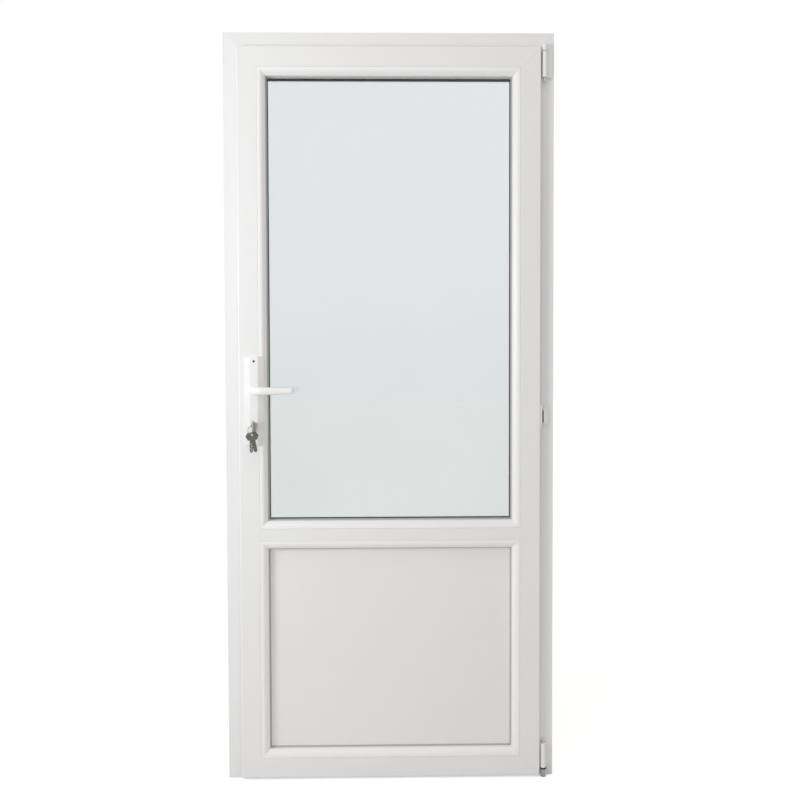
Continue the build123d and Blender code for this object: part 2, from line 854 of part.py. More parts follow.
with BuildPart() as lock_key:
    with BuildSketch(key_plane):
        with Locations((bow_back - key_bow_depth / 2, 0)):
            RectangleRounded(key_bow_depth, key_bow_height, key_bow_corner)
        with Locations((bow_back - key_bow_corner, 0)):
            Rectangle(
                key_bow_corner + key_bow_gap + key_blade_length,
                key_blade_height,
                align=(Align.MIN, Align.CENTER),
            )
        with Locations((ring_hole_y, 0)):
            Circle(key_hole_radius, mode=Mode.SUBTRACT)
    extrude(amount=key_thickness / 2, both=True)
save(lock_key.part, "lock_key")

hang_step = key_hole_radius - ring_wire_height / 2 - hang_clearance
ring_across = Vector(1, 1, 0).normalized()
ring_turn = Axis((0, 0, 0), ring_across.cross(Vector(0, 0, 1)))
ring_hook = Vector(spindle_x, ring_hole_y, cylinder_z - hang_step)
ring_centre = ring_hook + Vector(0, 0, -ring_radius).rotate(ring_turn, -ring_swing)
with BuildPart() as key_ring:
    with BuildSketch(Plane(ring_centre, x_dir=ring_across, z_dir=(0, 0, 1))):
        with Locations((ring_radius, 0)):
            Rectangle(ring_wire_height, ring_wire_width)
    revolve(axis=Axis(ring_centre, ring_turn.direction))
save(key_ring.part, "key_ring")


def hanging_key(hole, lean):
    """Key that hangs on the ring by the hole in its bow, leaning sideways."""
    shoulder = spare_bow_width / 2 - spare_bow_taper
    bow_low = spare_hole_drop - spare_bow_height
    tip = bow_low - spare_blade_length
    across = Vector(1, 0, 0).rotate(Axis.Y, -lean)
    with BuildPart() as key:
        with BuildSketch(Plane(hole, x_dir=across, z_dir=(0, -1, 0))):
            with BuildLine():
                Polyline(
                    (-shoulder, spare_hole_drop),
                    (shoulder, spare_hole_drop),
                    (spare_bow_width / 2, spare_hole_drop - spare_bow_height / 2),
                    (shoulder, bow_low),
                    (spare_blade_width / 2, bow_low),
                    (spare_blade_width / 2, tip + spare_blade_point),
                    (spare_blade_width / 2 - spare_blade_point, tip),
                    (spare_blade_point - spare_blade_width / 2, tip),
                    (-spare_blade_width / 2, tip + spare_blade_point),
                    (-spare_blade_width / 2, bow_low),
                    (-shoulder, bow_low),
                    (-spare_bow_width / 2, spare_hole_drop - spare_bow_height / 2),
                    close=True,
                )
            make_face()
            Circle(key_hole_radius, mode=Mode.SUBTRACT)
        extrude(amount=key_thickness / 2, both=True)
    return key.part


# The second key hangs a step further round the ring, so a little higher
ring_step = spare_key_step / ring_across.Y
ring_rise = ring_radius - (ring_radius**2 - ring_step**2) ** 0.5
spare_hole = ring_centre - Vector(0, 0, ring_radius + hang_step)
second_hole = spare_hole + Vector(spare_key_step, spare_key_step, ring_rise)
save(hanging_key(spare_hole, 0), "spare_key")
save(hanging_key(second_hole, spare_key_lean), "second_spare_key")
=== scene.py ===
# %% [markdown]
# # A white plastic door with a glazed upper half
# The door stands in its frame, seen from the room. Its shapes were drawn in a
# CAD program and arrive here as a fixed frame of named nodes in metres. This
# lesson gives them light, finishes and the small pieces that are too fine for
# the drawing.

# %% Load the imported door
import math
import bmesh
import bpy
from mathutils import Matrix, Vector


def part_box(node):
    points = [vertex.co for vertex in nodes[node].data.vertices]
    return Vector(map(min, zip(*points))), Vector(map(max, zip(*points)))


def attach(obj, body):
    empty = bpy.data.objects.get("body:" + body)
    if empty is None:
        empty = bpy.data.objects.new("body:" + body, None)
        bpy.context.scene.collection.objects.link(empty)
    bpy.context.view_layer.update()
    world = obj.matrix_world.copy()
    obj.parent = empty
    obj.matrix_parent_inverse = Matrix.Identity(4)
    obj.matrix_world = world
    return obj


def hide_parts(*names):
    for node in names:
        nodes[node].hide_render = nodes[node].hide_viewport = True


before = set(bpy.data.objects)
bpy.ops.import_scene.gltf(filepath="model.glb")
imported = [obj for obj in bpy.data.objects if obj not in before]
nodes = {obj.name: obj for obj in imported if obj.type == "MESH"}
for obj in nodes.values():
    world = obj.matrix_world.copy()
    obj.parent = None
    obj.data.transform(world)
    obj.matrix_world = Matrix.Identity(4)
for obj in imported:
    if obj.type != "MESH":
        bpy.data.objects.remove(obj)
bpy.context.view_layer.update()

# %% [markdown]
# ## Camera
# The door was seen almost square on, from about two and a half metres, at chest
# height. A camera could be placed by eye, but the edges of the frame and of the
# leaf fix it better: the place, the turn and the lens below make those edges
# fall where they are seen. The turn is put together from yaw, pitch and roll.

# %% Set up the camera
IMAGE_WIDTH = 800
FOCAL_PIXELS = 936.9
CAMERA_PLACE = Vector((-0.0187, -2.5505, 1.1127))
CAMERA_YAW = math.radians(1.040)
CAMERA_PITCH = math.radians(1.988)
CAMERA_ROLL = math.radians(-0.161)
SENSOR_MM = 36.0

camera_data = bpy.data.cameras.new("camera")
camera_data.sensor_width = SENSOR_MM
camera_data.lens = FOCAL_PIXELS * SENSOR_MM / IMAGE_WIDTH
camera = bpy.data.objects.new("camera", camera_data)
camera.location = CAMERA_PLACE
camera.rotation_euler = (
    Matrix.Rotation(-CAMERA_YAW, 3, "Z")
    @ Matrix.Rotation(math.pi / 2 - CAMERA_PITCH, 3, "X")
    @ Matrix.Rotation(CAMERA_ROLL, 3, "Z")
).to_euler()
bpy.context.scene.collection.objects.link(camera)
bpy.context.scene.camera = camera
bpy.context.scene.view_settings.view_transform = "Standard"
print("lens", round(camera_data.lens, 2), "mm")

# %% [markdown]
# ## Node helpers
# Every finish below is a small graph of nodes. A few helpers keep the graphs
# short: they add a node and set its values, do one step of arithmetic, or start
# a material and hand back its main shader. An input is given either as a number
# or colour, or as the output socket of another node, which is then linked.

# %% Helpers for nodes
def set_inputs(tree, node, inputs):
    """Give a node's inputs their values, or link them to other sockets."""
    for name, value in inputs.items():
        socket = node.inputs[name]
        if isinstance(value, bpy.types.NodeSocket):
            tree.links.new(value, socket)
        else:
            socket.default_value = value


def add_node(tree, kind, settings=None, **inputs):
    """Add one node to a tree; settings are its menu choices."""
    node = tree.nodes.new(kind)
    for name, value in (settings or {}).items():
        setattr(node, name, value)
    set_inputs(tree, node, {key.replace("_", " "): value for key, value in inputs.items()})
    return node


def multiply_add(tree, value, factor, offset):
    """value * factor + offset, as one node."""
    node = tree.nodes.new("ShaderNodeMath")
    node.operation = "MULTIPLY_ADD"
    for place, entry in enumerate((value, factor, offset)):
        set_inputs(tree, node, {place: entry})
    return node.outputs[0]


def new_material(name):
    """Start a material and return it with its tree and its main shader."""
    material = bpy.data.materials.new(name)
    material.use_nodes = True
    tree = material.node_tree
    return material, tree, tree.nodes["Principled BSDF"]


print("node helpers ready")

# %% [markdown]
# ## Floor and background
# The door is shown on plain white. A studio would use a white sweep lit until it
# burns out, but that would also flood the door with light. Here the floor is an
# ordinary pale floor that adds a little glow only for the rays which the camera,
# mirrors and glass look along, so it reaches white and still keeps the shadow.

# %% Make the floor
FLOOR_REACH = 30.0
FLOOR_DROP = 0.0006
FLOOR_COLOUR = (0.80, 0.80, 0.80, 1)
FLOOR_GLOW = 0.497
CORNER_SIGNS = ((-1, -1), (1, -1), (1, 1), (-1, 1))


def seen_rays(tree):
    """1 for rays of the camera and those that mirrors and glass send on."""
    path = add_node(tree, "ShaderNodeLightPath")
    total = add_node(tree, "ShaderNodeMath", {"operation": "ADD"})
    tree.links.new(path.outputs["Is Camera Ray"], total.inputs[0])
    tree.links.new(path.outputs["Is Glossy Ray"], total.inputs[1])
    clipped = add_node(tree, "ShaderNodeMath", {"operation": "ADD", "use_clamp": True})
    tree.links.new(total.outputs[0], clipped.inputs[0])
    tree.links.new(path.outputs["Is Transmission Ray"], clipped.inputs[1])
    return clipped.outputs[0]


floor_mesh = bpy.data.meshes.new("floor")
floor_corners = [(x * FLOOR_REACH, y * FLOOR_REACH, -FLOOR_DROP) for x, y in CORNER_SIGNS]
floor_mesh.from_pydata(floor_corners, [], [(0, 1, 2, 3)])
floor = bpy.data.objects.new("floor", floor_mesh)
bpy.context.scene.collection.objects.link(floor)

floor_material, tree, shader = new_material("pale_floor")
tree.nodes.remove(shader)
matt = add_node(tree, "ShaderNodeBsdfDiffuse", Color=FLOOR_COLOUR)
glow = add_node(tree, "ShaderNodeEmission", Color=(1, 1, 1, 1))
tree.links.new(multiply_add(tree, seen_rays(tree), FLOOR_GLOW, 0.0), glow.inputs["Strength"])
both = add_node(tree, "ShaderNodeAddShader")
tree.links.new(matt.outputs[0], both.inputs[0])
tree.links.new(glow.outputs[0], both.inputs[1])
tree.links.new(both.outputs[0], tree.nodes["Material Output"].inputs["Surface"])
floor_mesh.materials.append(floor_material)
print("floor", 2 * FLOOR_REACH, "m wide")

# %% [markdown]
# ## Light
# The left of the door is the brightest, most of all a little above the lever, and
# the right jamb lies in the shade of the leaf's edge. Slopes that look up or down
# are nearly as bright as the faces. That calls for a soft lamp to the left, one
# overhead and a little light that comes back from the floor, over an even light
# from all round. Rays that look straight at the world see plain white. Only the
# left lamp leaves highlights. Seen from the side, the panes would mirror it as a
# hard white patch, so they are left out of what it lights.

# %% Light the door
FILL_LEVEL = 0.655
FILL_COLOUR = (1.0, 0.978, 0.960, 1)
LAMP_BEAM = math.radians(150)
HIGHLIGHT_LAMP = "left_softbox"
LAMPS = {
    # name: place, aim, size, watts and colour
    "left_softbox": ((-1.88, -1.36, 1.40), (-0.3, 0.0, 1.45), (0.7, 0.8), 16.0, (0.97, 1.0, 1.03)),
    "top_softbox": ((-0.2, -1.1, 3.3), (0.0, -0.1, 1.0), (1.6, 1.0), 4.2, (1.0, 1.0, 1.0)),
    "floor_bounce": ((0.2, -1.5, 0.05), (0.1, 0.0, 1.1), (2.4, 1.0), 0.8, (1.0, 0.99, 0.98)),
}

world = bpy.data.worlds.new("studio")
bpy.context.scene.world = world
world.use_nodes = True
tree = world.node_tree
tree.nodes.clear()
fill = add_node(tree, "ShaderNodeBackground", Color=FILL_COLOUR, Strength=FILL_LEVEL)
white = add_node(tree, "ShaderNodeBackground", Color=(1, 1, 1, 1), Strength=1.0)
choice = add_node(tree, "ShaderNodeMixShader")
tree.links.new(seen_rays(tree), choice.inputs[0])
tree.links.new(fill.outputs[0], choice.inputs[1])
tree.links.new(white.outputs[0], choice.inputs[2])
world_out = add_node(tree, "ShaderNodeOutputWorld")
tree.links.new(choice.outputs[0], world_out.inputs["Surface"])

for name, (place, aim, size, power, colour) in LAMPS.items():
    lamp = bpy.data.lights.new(name, "AREA")
    lamp.shape = "RECTANGLE"
    lamp.size, lamp.size_y = size
    lamp.energy, lamp.color, lamp.spread = power, colour, LAMP_BEAM
    holder = bpy.data.objects.new(name, lamp)
    holder.location = place
    holder.rotation_euler = (Vector(aim) - Vector(place)).to_track_quat("-Z", "Y").to_euler()
    holder.visible_glossy = name == HIGHLIGHT_LAMP
    holder.visible_transmission = False
    bpy.context.scene.collection.objects.link(holder)
    print(name, power, "W")

unlit = bpy.data.collections.new("not_lit_by_left_softbox")
for name in ("inner_pane", "outer_pane"):
    unlit.objects.link(nodes[name])
for entry in unlit.collection_objects:
    entry.light_linking.link_state = "EXCLUDE"
bpy.data.objects[HIGHLIGHT_LAMP].light_linking.receiver_collection = unlit

# %% [markdown]
# ## Effects that several finishes share
# Extruded plastic, lacquer, rubber and drawn metal all have a fine texture that
# shows only where light grazes them. It could be painted, but a noise that is
# stretched along the way the piece was made does the same and never repeats. It
# is built once, as a group of nodes with named inputs, and each finish sets its
# own stretch. The pieces sit at the origin, so object coordinates are metres.

# %% Group: fine texture stretched along a piece
def start_group(name, inputs, outputs):
    """A shader node group with named sockets; returns its tree and its ends."""
    tree = bpy.data.node_groups.new(name, "ShaderNodeTree")
    for label, kind, default in inputs:
        socket = tree.interface.new_socket(label, in_out="INPUT", socket_type=kind)
        socket.default_value = default
    for label, kind in outputs:
        tree.interface.new_socket(label, in_out="OUTPUT", socket_type=kind)
    return tree, tree.nodes.new("NodeGroupInput"), tree.nodes.new("NodeGroupOutput")


def scaled_place(tree, scale):
    """Object coordinates times a scale."""
    place = add_node(tree, "ShaderNodeTexCoord").outputs["Object"]
    stretch = add_node(tree, "ShaderNodeVectorMath", {"operation": "MULTIPLY"})
    tree.links.new(place, stretch.inputs[0])
    set_inputs(tree, stretch, {1: scale})
    return stretch.outputs[0]


fine_texture, start, end = start_group(
    "fine_texture",
    [("Lines per metre", "NodeSocketVector", (900, 900, 900)),
     ("Smooth value", "NodeSocketFloat", 0.30),
     ("Rough value", "NodeSocketFloat", 0.40)],
    [("Height", "NodeSocketFloat"), ("Roughness", "NodeSocketFloat")],
)
noise = add_node(fine_texture, "ShaderNodeTexNoise", Detail=3.0, Roughness=0.55,
                 Vector=scaled_place(fine_texture, start.outputs["Lines per metre"]))
spread = add_node(fine_texture, "ShaderNodeMapRange")
fine_texture.links.new(noise.outputs["Fac"], spread.inputs["Value"])
fine_texture.links.new(start.outputs["Smooth value"], spread.inputs["To Min"])
fine_texture.links.new(start.outputs["Rough value"], spread.inputs["To Max"])
fine_texture.links.new(noise.outputs["Fac"], end.inputs["Height"])
fine_texture.links.new(spread.outputs["Result"], end.inputs["Roughness"])
print("group", fine_texture.name)

# %% [markdown]
# White plastic is never one white: it clouds a little over the length of a bar,
# and the foot of a door catches a film of soil that fades out upwards. This
# group mixes two near tones by a slow noise and adds a darker colour by height
# above the floor, broken up by the same noise so that it has no hard edge. On
# the bars that colour is soil; on the glass it is a painted shade.

# %% Group: slow cloud of tone, with soil and painted shade towards the floor
MIX_A, MIX_B, MIX_RESULT = 6, 7, 2  # colour sockets of a Mix node

clouded_tone, start, end = start_group(
    "clouded_tone",
    [("Clean colour", "NodeSocketColor", (0.84, 0.83, 0.82, 1)),
     ("Clouded colour", "NodeSocketColor", (0.81, 0.80, 0.79, 1)),
     ("Soil colour", "NodeSocketColor", (0.55, 0.52, 0.47, 1)),
     ("Clouds per metre", "NodeSocketVector", (5, 5, 5)),
     ("Soil height", "NodeSocketFloat", 0.16),
     ("Soil amount", "NodeSocketFloat", 0.10)],
    [("Colour", "NodeSocketColor")],
)
clouds = add_node(clouded_tone, "ShaderNodeTexNoise", Detail=4.0, Roughness=0.6,
                  Vector=scaled_place(clouded_tone, start.outputs["Clouds per metre"]))
tone = add_node(clouded_tone, "ShaderNodeMix", {"data_type": "RGBA"})
clouded_tone.links.new(clouds.outputs["Fac"], tone.inputs["Factor"])
clouded_tone.links.new(start.outputs["Clean colour"], tone.inputs[MIX_A])
clouded_tone.links.new(start.outputs["Clouded colour"], tone.inputs[MIX_B])
height = add_node(clouded_tone, "ShaderNodeSeparateXYZ",
                  Vector=add_node(clouded_tone, "ShaderNodeTexCoord").outputs["Object"])
# Darker towards the floor: soil on the bars, painted shade on the glass.
soil_and_shade_ramp = add_node(clouded_tone, "ShaderNodeMapRange", {"interpolation_type": "SMOOTHSTEP"},
                Value=height.outputs["Z"], From_Min=0.0, To_Max=0.0)
clouded_tone.links.new(start.outputs["Soil height"], soil_and_shade_ramp.inputs["From Max"])
clouded_tone.links.new(start.outputs["Soil amount"], soil_and_shade_ramp.inputs["To Min"])
broken = add_node(clouded_tone, "ShaderNodeMath", {"operation": "MULTIPLY"})
clouded_tone.links.new(soil_and_shade_ramp.outputs["Result"], broken.inputs[0])
clouded_tone.links.new(clouds.outputs["Fac"], broken.inputs[1])
soil_and_shade_mix = add_node(clouded_tone, "ShaderNodeMix", {"data_type": "RGBA"})
clouded_tone.links.new(broken.outputs[0], soil_and_shade_mix.inputs["Factor"])
clouded_tone.links.new(tone.outputs[MIX_RESULT], soil_and_shade_mix.inputs[MIX_A])
clouded_tone.links.new(start.outputs["Soil colour"], soil_and_shade_mix.inputs[MIX_B])
clouded_tone.links.new(soil_and_shade_mix.outputs[MIX_RESULT], end.inputs["Colour"])
print("group", clouded_tone.name)

# %% [markdown]
# ## Finishes
# One function puts the two groups into a material, because all the opaque
# finishes here are the same idea with other values: a clouded colour, a
# roughness that varies with the fine texture, and a bump of the same texture.
# What is the same all over a surface is set on the shader itself.

# %% One way to make the opaque finishes
COAT_ROUGHNESS = 0.12


def group_node(tree, group, **inputs):
    """Place a node group in a tree and set its inputs."""
    node = tree.nodes.new("ShaderNodeGroup")
    node.node_tree = group
    set_inputs(tree, node, {key.replace("_", " "): value for key, value in inputs.items()})
    return node


def opaque_finish(name, clean, clouded, lines, roughness, bump_depth, metallic=0.0,
                  clouds=(5, 5, 5), soil_amount=0.0, coat=0.0, specular=0.5):
    """A clouded colour with a fine texture in its roughness and its surface."""
    material, tree, shader = new_material(name)
    tone = group_node(tree, clouded_tone, Clean_colour=(*clean, 1), Clouded_colour=(*clouded, 1),
                      Clouds_per_metre=clouds, Soil_amount=soil_amount)
    texture = group_node(tree, fine_texture, Lines_per_metre=lines,
                         Smooth_value=roughness[0], Rough_value=roughness[1])
    bump = add_node(tree, "ShaderNodeBump", Strength=1.0, Distance=bump_depth)
    tree.links.new(texture.outputs["Height"], bump.inputs["Height"])
    tree.links.new(tone.outputs["Colour"], shader.inputs["Base Color"])
    tree.links.new(texture.outputs["Roughness"], shader.inputs["Roughness"])
    tree.links.new(bump.outputs["Normal"], shader.inputs["Normal"])
    set_inputs(tree, shader, {"Metallic": metallic, "Coat Weight": coat, "Coat Roughness": COAT_ROUGHNESS,
                              "Specular IOR Level": specular})
    return material


print("finish maker ready")

# %% [markdown]
# The bars of frame, leaf and beads are extruded, so their faint lines run along
# each bar: upright in the stiles and jambs, level in the rails. The beads get a
# whiter copy of the plastic, painted lighter to make up for the shade on their
# slopes, with a soft shine. The infill panel is a calendered sheet and has only
# a fine even grain.

# %% White plastic: uprights, level bars and panel
PLASTIC = ((0.845, 0.842, 0.838), (0.822, 0.818, 0.813))
# Painted light: the beads' plastic is lighter than the bars' to brighten their shaded slopes.
BEAD_PLASTIC_PAINTED_LIGHT = ((0.895, 0.892, 0.888), (0.875, 0.871, 0.866))
UPRIGHT_LINES, LEVEL_LINES = (700, 700, 3), (3, 700, 700)
UPRIGHT_CLOUDS, LEVEL_CLOUDS = (9, 9, 1.5), (1.5, 9, 9)
BAR_ROUGHNESS, BEAD_ROUGHNESS = (0.26, 0.40), (0.34, 0.44)
BAR_BUMP, BEAD_BUMP = 0.00006, 0.00005
BAR_SOIL = 0.10
BEAD_SPECULAR = 0.7

upright_plastic = opaque_finish("upright_plastic", *PLASTIC, UPRIGHT_LINES, BAR_ROUGHNESS, BAR_BUMP,
                                clouds=UPRIGHT_CLOUDS, soil_amount=BAR_SOIL)
level_plastic = opaque_finish("level_plastic", *PLASTIC, LEVEL_LINES, BAR_ROUGHNESS, BAR_BUMP,
                              clouds=LEVEL_CLOUDS, soil_amount=BAR_SOIL)
upright_bead = opaque_finish("upright_bead", *BEAD_PLASTIC_PAINTED_LIGHT, UPRIGHT_LINES, BEAD_ROUGHNESS, BEAD_BUMP,
                             clouds=UPRIGHT_CLOUDS, soil_amount=BAR_SOIL, specular=BEAD_SPECULAR)
level_bead = opaque_finish("level_bead", *BEAD_PLASTIC_PAINTED_LIGHT, LEVEL_LINES, BEAD_ROUGHNESS, BEAD_BUMP,
                           clouds=LEVEL_CLOUDS, soil_amount=BAR_SOIL, specular=BEAD_SPECULAR)
panel_plastic = opaque_finish(
    "panel_plastic", (0.835, 0.832, 0.825), (0.81, 0.806, 0.798), (420, 420, 420), (0.24, 0.36),
    0.00004, clouds=(4, 4, 4), soil_amount=0.08)
print("five white plastics ready")

# %% [markdown]
# Handles and hinges are cast metal under a satin white lacquer, which flows
# into a slight orange peel. The gaskets are grey rubber, dull and finely pitted.
# The values are two tones, lines per metre, a span of roughness and a bump depth.

# %% Lacquer and rubber
white_lacquer = opaque_finish(
    "white_lacquer", (0.86, 0.858, 0.852), (0.84, 0.838, 0.83), (260, 260, 260), (0.40, 0.52),
    0.00005, clouds=(30, 30, 30), coat=0.05, specular=0.4)
gasket_rubber = opaque_finish(
    "gasket_rubber", (0.40, 0.402, 0.406), (0.46, 0.46, 0.462), (1800, 1800, 1800), (0.62, 0.85),
    0.00008, clouds=(14, 14, 14), specular=0.3)
print("lacquer and rubber ready")

# %% [markdown]
# The metals differ in tone and in how they were worked. The threshold and the
# spacer are drawn aluminium with lines along X, lock parts are zinc plated and
# clouded, hinge pins are dull, the lower bearing and the handles' screws are
# steel painted near-black as painted shade for their recesses and gaps, the
# cylinder is nickel and the spare keys are darkened by use.

# %% Metals
drawn_aluminium = opaque_finish(
    "drawn_aluminium", (0.70, 0.71, 0.72), (0.62, 0.63, 0.64), (4, 1500, 1500), (0.28, 0.45),
    0.00005, metallic=1.0, clouds=(3, 20, 20), soil_amount=0.3)
zinc_plate = opaque_finish(
    "zinc_plate", (0.60, 0.60, 0.60), (0.46, 0.46, 0.47), (900, 900, 60), (0.30, 0.50),
    0.00004, metallic=1.0, clouds=(60, 60, 60))
# Painted shade: near-black steel for the screw recesses, the bearing's gaps and the catch's slot.
painted_shade_steel = opaque_finish(
    "painted_shade_steel", (0.07, 0.07, 0.072), (0.035, 0.035, 0.036), (1200, 1200, 1200), (0.35, 0.6),
    0.00006, metallic=1.0, clouds=(120, 120, 120))
dull_nickel = opaque_finish(
    "dull_nickel", (0.52, 0.51, 0.49), (0.40, 0.39, 0.37), (900, 900, 900), (0.22, 0.4),
    0.00004, metallic=1.0, clouds=(150, 150, 150))
key_metal = opaque_finish(
    "key_metal", (0.25, 0.24, 0.222), (0.03, 0.029, 0.027), (1000, 1000, 200), (0.3, 0.5),
    0.00006, metallic=1.0, clouds=(260, 260, 260))
dull_zinc = opaque_finish(
    "dull_zinc", (0.60, 0.60, 0.60), (0.50, 0.50, 0.505), (900, 900, 60), (0.4, 0.6),
    0.00005, metallic=0.5, clouds=(90, 90, 90))
print("six metals ready")

# %% [markdown]
# The panes are float glass, a little green in its depth. Float glass is nearly
# flat: a very shallow, slow wave bends what is seen in it, and finger marks make
# patches slightly less clear. Low down the glass gets a painted shade, a deeper
# green-grey tint that stands in for the ground seen through it there; the
# soil-and-shade part of the tone group paints it.

# %% Glass
clear_glass, tree, shader = new_material("clear_glass")
# Painted shade: the tint turns deeper and greener towards the bottom, standing in for the ground seen
# through the glass.
tint = group_node(tree, clouded_tone, Clean_colour=(0.872, 0.890, 0.897, 1),
                  Clouded_colour=(0.868, 0.886, 0.893, 1), Soil_colour=(0.750, 0.800, 0.782, 1),
                  Clouds_per_metre=(0.4, 0.4, 0.4), Soil_height=1.75, Soil_amount=1.3)
marks = group_node(tree, fine_texture, Lines_per_metre=(9, 9, 9), Smooth_value=0.0, Rough_value=0.02)
wave = group_node(tree, fine_texture, Lines_per_metre=(5, 5, 2.5))
bump = add_node(tree, "ShaderNodeBump", Strength=0.25, Distance=0.0006)
tree.links.new(wave.outputs["Height"], bump.inputs["Height"])
tree.links.new(tint.outputs["Colour"], shader.inputs["Base Color"])
tree.links.new(marks.outputs["Roughness"], shader.inputs["Roughness"])
tree.links.new(bump.outputs["Normal"], shader.inputs["Normal"])
set_inputs(tree, shader, {"Transmission Weight": 1.0, "IOR": 1.45})
print("glass ready")

# %% [markdown]
# ## Dress the CAD nodes
# Most nodes have the right shape as they came, and only swap their material. The
# list goes by what a piece is made of on the real door. It also holds the few
# nodes that finer pieces stand for further down, so that none is left out.

# %% Give every node its finish
FINISHES = {
    upright_plastic: ["frame_lock_jamb", "frame_hinge_jamb", "leaf_lock_stile", "leaf_hinge_stile"],
    level_plastic: ["frame_head", "leaf_top_rail", "leaf_bottom_rail", "leaf_mid_rail"],
    upright_bead: ["glass_bead_left", "glass_bead_right", "panel_bead_left", "panel_bead_right"],
    level_bead: ["glass_bead_top", "glass_bead_bottom", "panel_bead_top", "panel_bead_bottom"],
    panel_plastic: ["lower_panel"],
    gasket_rubber: ["threshold_seal", "frame_seal", "leaf_seal", "inner_gaskets", "outer_gaskets"],
    clear_glass: ["inner_pane", "outer_pane"],
    drawn_aluminium: ["threshold", "glass_spacer"],
    white_lacquer: ["inside_handle_plate", "outside_handle_plate", "inside_lever", "outside_lever",
                    "top_hinge_bearing", "top_hinge_arm", "bottom_hinge_flap", "catch_cam",
                    "catch_keeper"],
    zinc_plate: ["strike_plate", "lock_faceplate", "latch_bolt", "dead_bolt", "lever_spindle"],
    # The lower bearing's near-black steel is a painted shade between its ribs.
    painted_shade_steel: ["bottom_hinge_bearing"],
    dull_zinc: ["top_hinge_pin", "bottom_hinge_pin"],
    dull_nickel: ["lock_cylinder", "key_ring", "lock_key"],
    key_metal: ["spare_key", "second_spare_key"],
}
for material, names in FINISHES.items():
    for name in names:
        nodes[name].data.materials.clear()
        nodes[name].data.materials.append(material)
undressed = set(nodes) - {name for names in FINISHES.values() for name in names}
print("dressed", len(nodes) - len(undressed), "nodes, left over:", sorted(undressed))

# %% [markdown]
# ## Tools for the small pieces
# Beads, levers, plates, screws and weld lines are all made the same way: a row of
# closed outlines, one after the other, with a skin stretched between them. That
# is a loft, and it suits anything that was bent, cast or drawn along a line. One
# piece can hold several lofts, such as a set of screws, and all its faces are
# turned outwards. Every piece then says on which body of the door it rides.

# %% Helpers for lofted pieces
MM = 0.001
SHARP_ANGLE = math.radians(40)


def lofts(rows):
    """Points and faces of a skin over each row of closed rings, ends closed."""
    points, faces = [], []
    for rings in rows:
        size, first = len(rings[0]), len(points)
        for ring in rings:
            points.extend(ring)
        for row in range(len(rings) - 1):
            low = first + row * size
            for place in range(size):
                beside = (place + 1) % size
                faces.append((low + place, low + beside, low + beside + size, low + place + size))
        last = first + (len(rings) - 1) * size
        faces.append(tuple(range(first, first + size)))
        faces.append(tuple(range(last, last + size)))
    return points, faces


def shape_mesh(name, shape):
    """Make a mesh of points and faces, with all its faces turned outwards."""
    mesh = bpy.data.meshes.new(name)
    mesh.from_pydata(shape[0], [], shape[1])
    sides = bmesh.new()
    sides.from_mesh(mesh)
    bmesh.ops.recalc_face_normals(sides, faces=sides.faces)
    sides.to_mesh(mesh)
    sides.free()
    return mesh


def add_piece(name, shape, material, body):
    """Make an object of a shape, riding on a body of the door."""
    mesh = shape_mesh(name, shape)
    mesh.shade_smooth()
    mesh.set_sharp_from_angle(angle=SHARP_ANGLE)
    mesh.materials.append(material)
    piece = bpy.data.objects.new(name, mesh)
    bpy.context.scene.collection.objects.link(piece)
    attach(piece, body)
    return piece


print("loft helpers ready")

# %% [markdown]
# ## Glazing beads
# Beads are the strips that hold glass and panel. A bead leaves a fine groove
# beside the bar, turns over a soft crest and falls in a flat slope to the gasket.
# The drawing has one arc there, so each bead is lofted again between its two
# mitres. Where two beads meet, a hair's breadth stays open, as on a cut joint.
# The outline gives the inset from the bar and the depth behind its face, in mm.

# %% Make the beads of both openings
BEAD_OUTLINE = ((0.0, 22.0), (0.0, 1.4), (0.25, 0.5), (0.6, 0.12), (1.1, 0.0), (3.0, 0.03),
                (5.0, 0.16), (7.0, 0.46), (9.0, 1.0), (11.0, 1.9), (12.5, 2.9), (14.0, 4.1),
                (19.7, 9.2), (20.3, 9.9), (20.7, 10.7), (20.8, 11.8), (20.8, 22.0))
MITRE_GAP = 0.1 * MM
SIDE_FINISHES = {"left": upright_bead, "top": level_bead, "right": upright_bead, "bottom": level_bead}


def bead_end(corner, turn_x, turn_z, shift):
    """Ring of the bead's outline on the mitre at one corner of an opening."""
    return [corner + Vector((turn_x * inset * MM, depth * MM, turn_z * inset * MM)) + shift
            for inset, depth in BEAD_OUTLINE]


for opening in ("glass", "panel"):
    left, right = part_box(opening + "_bead_left")[0].x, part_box(opening + "_bead_right")[1].x
    bottom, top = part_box(opening + "_bead_bottom")[0].z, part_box(opening + "_bead_top")[1].z
    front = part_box(opening + "_bead_left")[0].y
    corners = [(left, bottom, 1, 1), (left, top, 1, -1), (right, top, -1, -1), (right, bottom, -1, 1)]
    for step, (side, finish) in enumerate(SIDE_FINISHES.items()):
        ends = corners[step], corners[(step + 1) % len(corners)]
        along = Vector((ends[1][0] - ends[0][0], 0, ends[1][1] - ends[0][1])).normalized()
        rings = [bead_end(Vector((x, front, z)), turn_x, turn_z, along * gap)
                 for (x, z, turn_x, turn_z), gap in zip(ends, (MITRE_GAP, -MITRE_GAP))]
        bead = add_piece(opening + "_bead_strip_" + side, lofts([rings]), finish, "leaf")
        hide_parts(opening + "_bead_" + side)
    print(opening, "beads from", round(left, 4), "to", round(right, 4))

# %% [markdown]
# ## Rings
# The outlines of turned and cast pieces are rings, round or oval, about a centre
# and along any two directions. An oval whose power is a little over two has softer
# corners than a rectangle and fuller ones than an ellipse, as cast grips have.

# %% Helpers for rings
IN, OUT = Vector((0, -1, 0)), Vector((0, 1, 0))
RIGHT, UP = Vector((1, 0, 0)), Vector((0, 0, 1))
RING_POINTS = 40
RING_TURNS = [2 * math.pi * step / RING_POINTS for step in range(RING_POINTS)]
OVAL_SQUARENESS = 2.15


